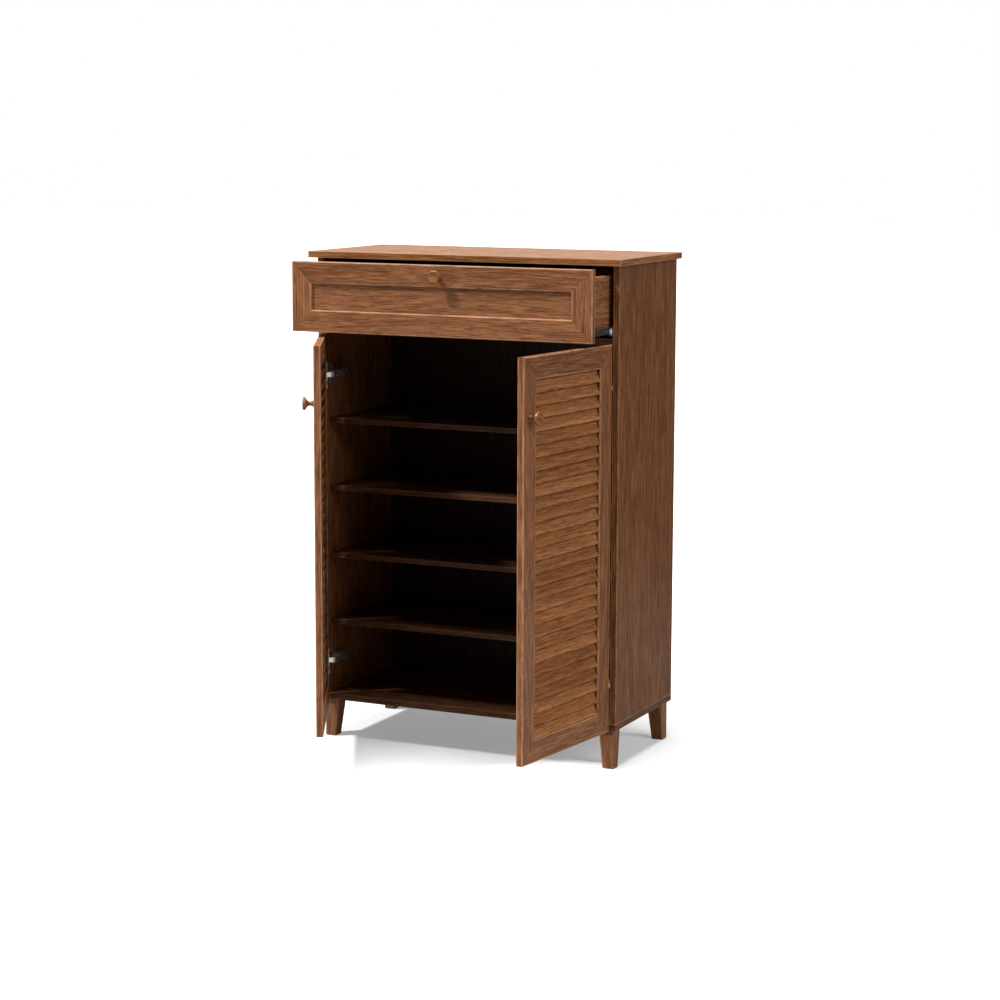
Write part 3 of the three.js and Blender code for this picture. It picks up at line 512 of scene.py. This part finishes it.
def mitred_frame(x0, x1, z0, z1, rail_groove, stile_groove):
    """Four bars round a rectangle. A bar's section, drawn as (distance in from the frame's outer
    edge, depth), is carried along it from mitre to mitre: a point that lies w in from the outer
    edge starts w along the bar and stops w short of its far end."""
    bars = {}
    for bar, groove in (("bottom", rail_groove), ("top", rail_groove), ("left", stile_groove),
                        ("right", stile_groove)):
        corners = [(0, OUTER_FACE), (FRAME_WIDTH - FRAME_BEVEL, OUTER_FACE),
                   (FRAME_WIDTH, OUTER_FACE + FRAME_BEVEL)]
        easing = [FRAME_EASING, 0.0006, 0.0005]
        if groove:
            near, far, deep = groove
            corners += [(FRAME_WIDTH, near), (FRAME_WIDTH - deep, near), (FRAME_WIDTH - deep, far),
                        (FRAME_WIDTH, far)]
            easing += [0.0002] * 4
        corners += [(FRAME_WIDTH, INNER_FACE), (0, INNER_FACE)]
        easing += [0.0006, FRAME_EASING]
        section, mark = eased(corners, easing)
        across, depth = section.T
        length = x1 - x0 if bar in ("bottom", "top") else z1 - z0
        along = np.stack([across + MITRE_SEAM, length - across - MITRE_SEAM])
        over = across + 0 * along
        x, z = {"bottom": (x0 + along, z0 + over), "top": (x1 - along, z1 - over),
                "left": (x0 + over, z1 - along), "right": (x1 - over, z0 + along)}[bar]
        bars[bar] = (np.stack([x, np.broadcast_to(depth, x.shape), z], -1), mark[None, :], False)
    return bars


front_walnut = walnut_finish("front_walnut", stain(102, 60, 36), stain(137, 88, 56), stain(168, 114, 76),
                             stain(70, 40, 24), stain(200, 152, 114))
top_rail_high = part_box("drawer_front_top_rail")[1]
front_high = top_rail_high.z
front_half = top_rail_high.x
front_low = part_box("drawer_front_bottom_rail")[0].z
panel_groove = (OUTER_FACE + PANEL_RECESS, OUTER_FACE + PANEL_RECESS + PANEL_THICKNESS,
                PANEL_GROOVE_DEPTH)
drawer_bars = mitred_frame(-front_half, front_half, front_low, front_high, panel_groove, panel_groove)
for bar, part, grain_axis in (("top", "top_rail", 0), ("bottom", "bottom_rail", 0),
                              ("left", "left_stile", 2), ("right", "right_stile", 2)):
    node_name = "drawer_front_" + part
    piece(node_name + "_mitred", [drawer_bars[bar]], front_walnut, "drawer", [node_name],
          along=grain_axis, place=pull_out)
THIN_ARRIS = 0.0003
piece("drawer_front_panel_foiled", [board(*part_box("drawer_front_panel"), through=1, arris=THIN_ARRIS)],
      front_walnut, "drawer", ["drawer_front_panel"], along=0)

# ---- Drawer box ----
# Two 12 mm sides, a back between them and a thin bottom let into grooves in the sides.
for node_name, through in (("drawer_right_side", 0), ("drawer_left_side", 0), ("drawer_back", 1)):
    piece(node_name + "_foiled", [board(*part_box(node_name), through=through)], front_walnut, "drawer",
          [node_name], along=1 if through == 0 else 0)
# The drawer's bottom takes the darkest copy of the walnut, as painted shade inside the drawer.
piece("drawer_bottom_foiled", [board(*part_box("drawer_bottom"), through=2, arris=THIN_ARRIS)],
      inside_walnut_painted_shade, "drawer", ["drawer_bottom"], along=0)

# ---- Knobs ----
# Turned wooden mushroom knobs with a dished face, screwed on from behind. Their walnut is yellower
# than the fronts' and has a glossier lacquer.
KNOB_PROFILE = np.array([(0.0002, 0), (0.0072, 0), (0.0075, 0.0004), (0.0074, 0.0015), (0.0060, 0.0038),
                         (0.0051, 0.0065), (0.0051, 0.0095), (0.0060, 0.0125), (0.0086, 0.0153),
                         (0.0124, 0.0172), (0.0144, 0.0189), (0.0150, 0.0207), (0.0146, 0.0228),
                         (0.0133, 0.0245), (0.0115, 0.0250), (0.0088, 0.0245), (0.0055, 0.0239),
                         (0.0025, 0.0236), (0.0002, 0.0235)])


def spline(points, steps):
    """A smooth line through points: between each two, the cubic whose slopes there are half the
    span between their neighbours."""
    padded = np.concatenate([points[:1] * 2 - points[1:2], points, points[-1:] * 2 - points[-2:-1]])
    a, b, c, d = padded[:-3], padded[1:-2], padded[2:-1], padded[3:]
    t = (np.arange(steps) / steps)[:, None, None]
    line = 0.5 * (2 * b + (c - a) * t + (2 * a - 5 * b + 4 * c - d) * t ** 2
                  + (3 * b - a - 3 * c + d) * t ** 3)
    return np.concatenate([line.transpose(1, 0, 2).reshape(-1, points.shape[1]), points[-1:]])


def turned(profile, foot, axis, sides=64, loop=False, mark=0.0):
    """A turned shape: each (radius, height) of the profile becomes one circle about the line from
    foot along axis, square to it."""
    axis, foot = np.array(axis, float), np.array(foot, float)
    first = np.array([axis[1], axis[2], axis[0]])
    second = np.cross(axis, first)
    angle = np.linspace(0, tau, sides, endpoint=False)
    radius, height = profile[:, 0, None, None], profile[:, 1, None, None]
    rings = foot + axis * height + radius * (np.cos(angle)[:, None] * first
                                             + np.sin(angle)[:, None] * second)
    return rings, mark, loop


knob_walnut = walnut_finish("knob_walnut", stain(92, 50, 22), stain(132, 82, 40), stain(170, 114, 62),
                            stain(66, 38, 20), stain(190, 134, 82), rings=0.4, streaks=1.5, lacquer=0.35,
                            lacquer_roughness=0.14, gloss=0.2)
STANDOFF = 0.00012
knob_face = OUTER_FACE - STANDOFF
knob_line = spline(KNOB_PROFILE, 4)
drawer_knob_foot = (0, knob_face, front_high - FRAME_WIDTH / 2)
piece("drawer_knob_turned", [turned(knob_line, drawer_knob_foot, (0, -1, 0))], knob_walnut, "drawer",
      ["drawer_knob"], along=1, place=pull_out, smooth=60)

# ---- Doors ----
# Each door is four mitred bars round a louvre of 28 slats, hung on two cup hinges. The stiles are
# grooved for the thin strips that hold the slats' ends. The right door is drawn shut, and the left
# one mirrors it.
DOOR_INNER_EDGE = 0.0015
DOOR_FOOT = 0.090
DOOR_HEAD = 0.961
SLATS = 28
SLAT_RUN = 0.0112
SLAT_RISE = 0.0308
SLAT_HALF = 0.0020
SLAT_EASING = 0.0013
SLAT_TRIM = 0.0004
DOOR_KNOB_HEIGHT = 0.833
CUP_CENTRE = 0.3485
HINGE_HEIGHTS = (0.863, 0.188)
SLAT_END_GAP = 0.0002
STRIP_LET_IN = 0.004
STRIP_PROUD = 0.0006
STRIP_END_GAP = 0.004
STRIP_EASE = 0.0002
GROOVE_FRONT = OUTER_FACE + 0.003
GROOVE_BACK = INNER_FACE - 0.0015
GROOVE_PLAY = 0.0004
strip_groove = (GROOVE_FRONT, GROOVE_BACK, STRIP_LET_IN + GROOVE_PLAY)
door_bars = mitred_frame(DOOR_INNER_EDGE, front_half, DOOR_FOOT, DOOR_HEAD, None, strip_groove)
open_x0, open_x1 = DOOR_INNER_EDGE + FRAME_WIDTH, front_half - FRAME_WIDTH
open_z0, open_z1 = DOOR_FOOT + FRAME_WIDTH, DOOR_HEAD - FRAME_WIDTH


def slat(number):
    """One slat: an eased, leaning strip whose lower edge stands out, carried straight across the
    opening. The top and bottom slats are cut off level at the frame."""
    pitch = (open_z1 - open_z0) / SLATS
    centre = np.array([(OUTER_FACE + INNER_FACE) / 2, open_z0 + (number + 0.5) * pitch])
    lean = np.array([SLAT_RUN, SLAT_RISE]) / np.hypot(SLAT_RUN, SLAT_RISE)
    square = np.array([-lean[1], lean[0]]) * SLAT_HALF
    half_run = np.array([SLAT_RUN, SLAT_RISE]) / 2
    outline, mark = eased([centre - half_run + square, centre - half_run - square,
                           centre + half_run - square, centre + half_run + square], SLAT_EASING)
    outline[:, 1] = np.clip(outline[:, 1], open_z0 + SLAT_TRIM, open_z1 - SLAT_TRIM)
    x = np.array([open_x0 + SLAT_END_GAP, open_x1 - SLAT_END_GAP])[:, None]
    rings = np.stack([x + 0 * outline[:, 0], outline[:, 0] + 0 * x, outline[:, 1] + 0 * x], -1)
    return rings, mark[None, :], False


def strip_board(x0, x1):
    """The thin strip that the ends of the slats meet."""
    return board((x0, GROOVE_FRONT + STRIP_EASE, open_z0 + STRIP_END_GAP),
                 (x1, GROOVE_BACK - STRIP_EASE, open_z1 - STRIP_END_GAP), through=0, arris=STRIP_EASE)


# The slats' arris colour is dark: painted shade along every slat edge, standing for the thin shadow line
# under each slat.
louvre_walnut = walnut_finish("louvre_walnut", stain(110, 65, 36), stain(152, 97, 59), stain(186, 127, 80),
                              stain(84, 48, 27), stain(50, 28, 15), rings=0.12, streaks=2.2,
                              lacquer=0.0, gloss=0.08)
louvre = [slat(number) for number in range(SLATS)]
strips = [strip_board(open_x0 - STRIP_LET_IN, open_x0 + STRIP_PROUD),
          strip_board(open_x1 - STRIP_PROUD, open_x1 + STRIP_LET_IN)]

nickel, nickel_tree, nickel_face = new_finish("nickel_plate")
nickel_place = shader(nickel_tree, "ShaderNodeTexCoord").outputs["Object"]
haze = noise(nickel_tree, nickel_place, (90.0, 90.0, 90.0), 4.0, 0.6).outputs["Fac"]
scratch = noise(nickel_tree, nickel_place, (2600.0, 160.0, 2600.0), 2.0).outputs["Fac"]
haze_roughness = maths(nickel_tree, "MULTIPLY_ADD", haze, 0.12, 0.10)
lay(nickel_tree, nickel_face, mix(nickel_tree, haze, (0.78, 0.77, 0.74, 1), (0.93, 0.92, 0.89, 1)),
    maths(nickel_tree, "MULTIPLY_ADD", scratch, 0.22, haze_roughness), scratch, 0.12, 0.0001)
nickel_face.inputs["Metallic"].default_value = 0.92

PLATE_TOP = 0.0013
CUP_PROFILE, cup_mark = eased([(0.0002, -0.011), (0.0173, -0.011), (0.0173, STANDOFF), (0.0189, STANDOFF),
                               (0.0189, PLATE_TOP), (0.0160, PLATE_TOP), (0.0160, -0.010),
                               (0.0002, -0.010)],
                              [0.00002, 0.0012, 0.0001, 0.0001, 0.0005, 0.0004, 0.001, 0.00002])
EAR_NEAR = 0.0172
EAR_FAR = 0.031
EAR_SCREW = 0.025
BORING = np.array([(0.0176, -0.0113), (0.0176, 0.004)])
SCREW_CROSS_HALF = 0.17
SCREW_CROSS_REACH = 0.62


def screw_head(centre, toward, radius=0.0034, dome=0.0012):
    """A pan-head screw: over a polar grid the height is a parabola less a cross-shaped pit, deepest
    in the middle of the head. The rim drops straight to the face it is screwed down on."""
    toward, centre = np.array(toward, float), np.array(centre, float)
    first = np.array([toward[1], toward[2], toward[0]])
    second = np.cross(toward, first)
    rho = np.concatenate([[1.0], np.linspace(1.0, 0.03, 12)])[:, None]
    angle = np.linspace(0, tau, 40, endpoint=False)[None, :]
    across, along = rho * np.cos(angle), rho * np.sin(angle)
    cross = np.maximum(np.exp(-(across / SCREW_CROSS_HALF) ** 4) * (np.abs(along) < SCREW_CROSS_REACH),
                       np.exp(-(along / SCREW_CROSS_HALF) ** 4) * (np.abs(across) < SCREW_CROSS_REACH))
    height = dome * (1 - 0.6 * rho ** 2) - cross * dome * 0.8 * (1 - 0.5 * rho)
    height[0] = 0.0
    rings = (centre + toward * height[..., None] + radius * (across[..., None] * first
                                                            + along[..., None] * second))
    return rings, 0.0, False


def cup_shells(z):
    """A pressed cup with its rim and its two ears, and the screw through each ear."""
    middle = np.array([CUP_CENTRE, INNER_FACE, z])
    shells = [turned(CUP_PROFILE, middle, (0, 1, 0), mark=cup_mark[:, None])]
    for up in (1, -1):
        ends = sorted([z + up * EAR_NEAR, z + up * EAR_FAR])
        shells.append(board((CUP_CENTRE - 0.007, INNER_FACE + STANDOFF, ends[0]),
                            (CUP_CENTRE + 0.005, INNER_FACE + PLATE_TOP, ends[1]), through=1,
                            arris=0.0005))
        shells.append(screw_head((CUP_CENTRE - 0.001, INNER_FACE + 0.0012, z + up * EAR_SCREW), (0, 1, 0)))
    return shells


def bore(stile, place):
    """Cuts the stile's two cup borings with a solid drill and keeps the cut mesh."""
    for z in HINGE_HEIGHTS:
        rings = turned(BORING, (CUP_CENTRE, INNER_FACE, z), (0, 1, 0), sides=72)[0]
        drill_mesh = bpy.data.meshes.new("drill")
        drawn = place(rings.reshape(-1, 3))
        faces = skin(rings, False)
        if volume_of(drawn - drawn.mean(0), faces) < 0:
            faces = [f[::-1] for f in faces]
        drill_mesh.from_pydata(drawn.tolist(), [], faces)
        drill = bpy.data.objects.new("drill", drill_mesh)
        bpy.context.scene.collection.objects.link(drill)
        cut = stile.modifiers.new("boring", "BOOLEAN")
        cut.operation = "DIFFERENCE"
        cut.solver = "EXACT"
        cut.object = drill
        bpy.context.view_layer.update()
        bored = bpy.data.meshes.new_from_object(stile.evaluated_get(bpy.context.evaluated_depsgraph_get()))
        stile.modifiers.clear()
        stile.data = bored
        bpy.data.objects.remove(drill)


for side, mirror in (("right", 1), ("left", -1)):
    hinge = joints[side + "_door_hinge"]
    opened = radians(-hinge["range_deg"][0]) * mirror
    pivot = np.array(hinge["pos_m"]) * [1, 1, 0]

    def swing(points):
        """Mirrors points to this side and turns them about the door's pivot to where it stands."""
        arm = points * [mirror, 1, 1] - pivot
        x = arm[:, 0] * cos(opened) - arm[:, 1] * sin(opened)
        y = arm[:, 0] * sin(opened) + arm[:, 1] * cos(opened)
        return np.stack([x, y, arm[:, 2]], 1) + pivot

    body_name = side + "_door"
    for bar, part, grain_axis in (("top", "top_rail", 0), ("bottom", "bottom_rail", 0),
                                  ("left", "meeting_stile", 2), ("right", "hinge_stile", 2)):
        node_name = body_name + "_" + part
        made = piece(node_name + "_mitred", [door_bars[bar]], front_walnut, body_name,
                     [node_name], along=grain_axis, place=swing)
        if part == "hinge_stile":
            bore(made, swing)
    piece(body_name + "_louvre_slats", louvre, louvre_walnut, body_name,
          [body_name + "_louvre"], along=0, place=swing)
    # The strips take a darker copy of the walnut, as painted shade between the slats' ends at the stiles.
    piece(body_name + "_louvre_strips", strips, shelf_walnut_painted_shade, body_name, [], along=2,
          place=swing)
    knob_foot = (DOOR_INNER_EDGE + FRAME_WIDTH / 2, knob_face, DOOR_KNOB_HEIGHT)
    piece(body_name + "_knob_turned", [turned(knob_line, knob_foot, (0, -1, 0))], knob_walnut, body_name,
          [body_name + "_knob"], along=1, place=swing, smooth=60)
    for place_name, z in zip(("upper", "lower"), HINGE_HEIGHTS):
        node_name = body_name + "_" + place_name + "_hinge_cup"
        piece(node_name + "_pressed", cup_shells(z), nickel, body_name, [node_name],
              along=2, place=swing, smooth=35)

# ---- Hinge plates, arms and links ----
# Each hinge's plate is screwed to the side panel. Its bent arm clips on the plate, and the link at
# its nose reaches into the cup. All are nickel-plated steel.
for node_name, node in frame["nodes"].items():
    if node_name.endswith(("hinge_plate", "hinge_arm", "hinge_link")):
        node.data.materials.clear()
        node.data.materials.append(nickel)

# ---- Runners and rollers ----
# Zinc-plated folded runners screwed to the side panels and under the drawer sides, with a white
# nylon roller at the front of each fixed runner and at the back of each moving one.
zinc, zinc_tree, zinc_face = new_finish("zinc_plate")
zinc_place = shader(zinc_tree, "ShaderNodeTexCoord").outputs["Object"]
spangle = shader(zinc_tree, "ShaderNodeTexVoronoi", {"Vector": zinc_place, "Scale": 260.0})
dulling = noise(zinc_tree, zinc_place, (60.0, 60.0, 60.0), 4.0, 0.6).outputs["Fac"]
zinc_tone = maths(zinc_tree, "MULTIPLY_ADD", spangle.outputs["Distance"], 0.35, dulling, clamp=True)
lay(zinc_tree, zinc_face, mix(zinc_tree, zinc_tone, (0.09, 0.10, 0.115, 1), (0.22, 0.24, 0.26, 1)),
    maths(zinc_tree, "MULTIPLY_ADD", zinc_tone, 0.18, 0.28), zinc_tone, 0.1, 0.0001)
zinc_face.inputs["Metallic"].default_value = 1.0

nylon, nylon_tree, nylon_face = new_finish("white_nylon")
nylon_place = shader(nylon_tree, "ShaderNodeTexCoord").outputs["Object"]
moulding = noise(nylon_tree, nylon_place, (300.0, 300.0, 300.0), 4.0, 0.6).outputs["Fac"]
lay(nylon_tree, nylon_face, mix(nylon_tree, moulding, (0.84, 0.84, 0.82, 1), (0.92, 0.92, 0.90, 1)),
    maths(nylon_tree, "MULTIPLY_ADD", moulding, 0.15, 0.33), moulding, 0.08, 0.0001)

ROLLER_BORE = 0.0023
TREAD_DROP = 0.0008
for side in ("right", "left"):
    for node_name in (side + "_cabinet_runner", side + "_drawer_runner"):
        frame["nodes"][node_name].data.materials.clear()
        frame["nodes"][node_name].data.materials.append(zinc)
    for end in ("front", "back"):
        node_name = side + "_" + end + "_roller"
        low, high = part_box(node_name)
        radius, wide = (high.z - low.z) / 2, high.x - low.x
        face_edge = radius - 0.0022
        profile = eased([(ROLLER_BORE, 0), (face_edge, 0), (radius, TREAD_DROP),
                         (radius, wide - TREAD_DROP), (face_edge, wide), (ROLLER_BORE, wide)],
                        [0.0003, 0.0005, 0.0006, 0.0006, 0.0005, 0.0003])[0]
        hub = (low.x, (low.y + high.y) / 2, (low.z + high.z) / 2)
        piece(node_name + "_moulded", [turned(profile, hub, (1, 0, 0), sides=72, loop=True)], nylon,
              node_name, [node_name], along=0, smooth=40)
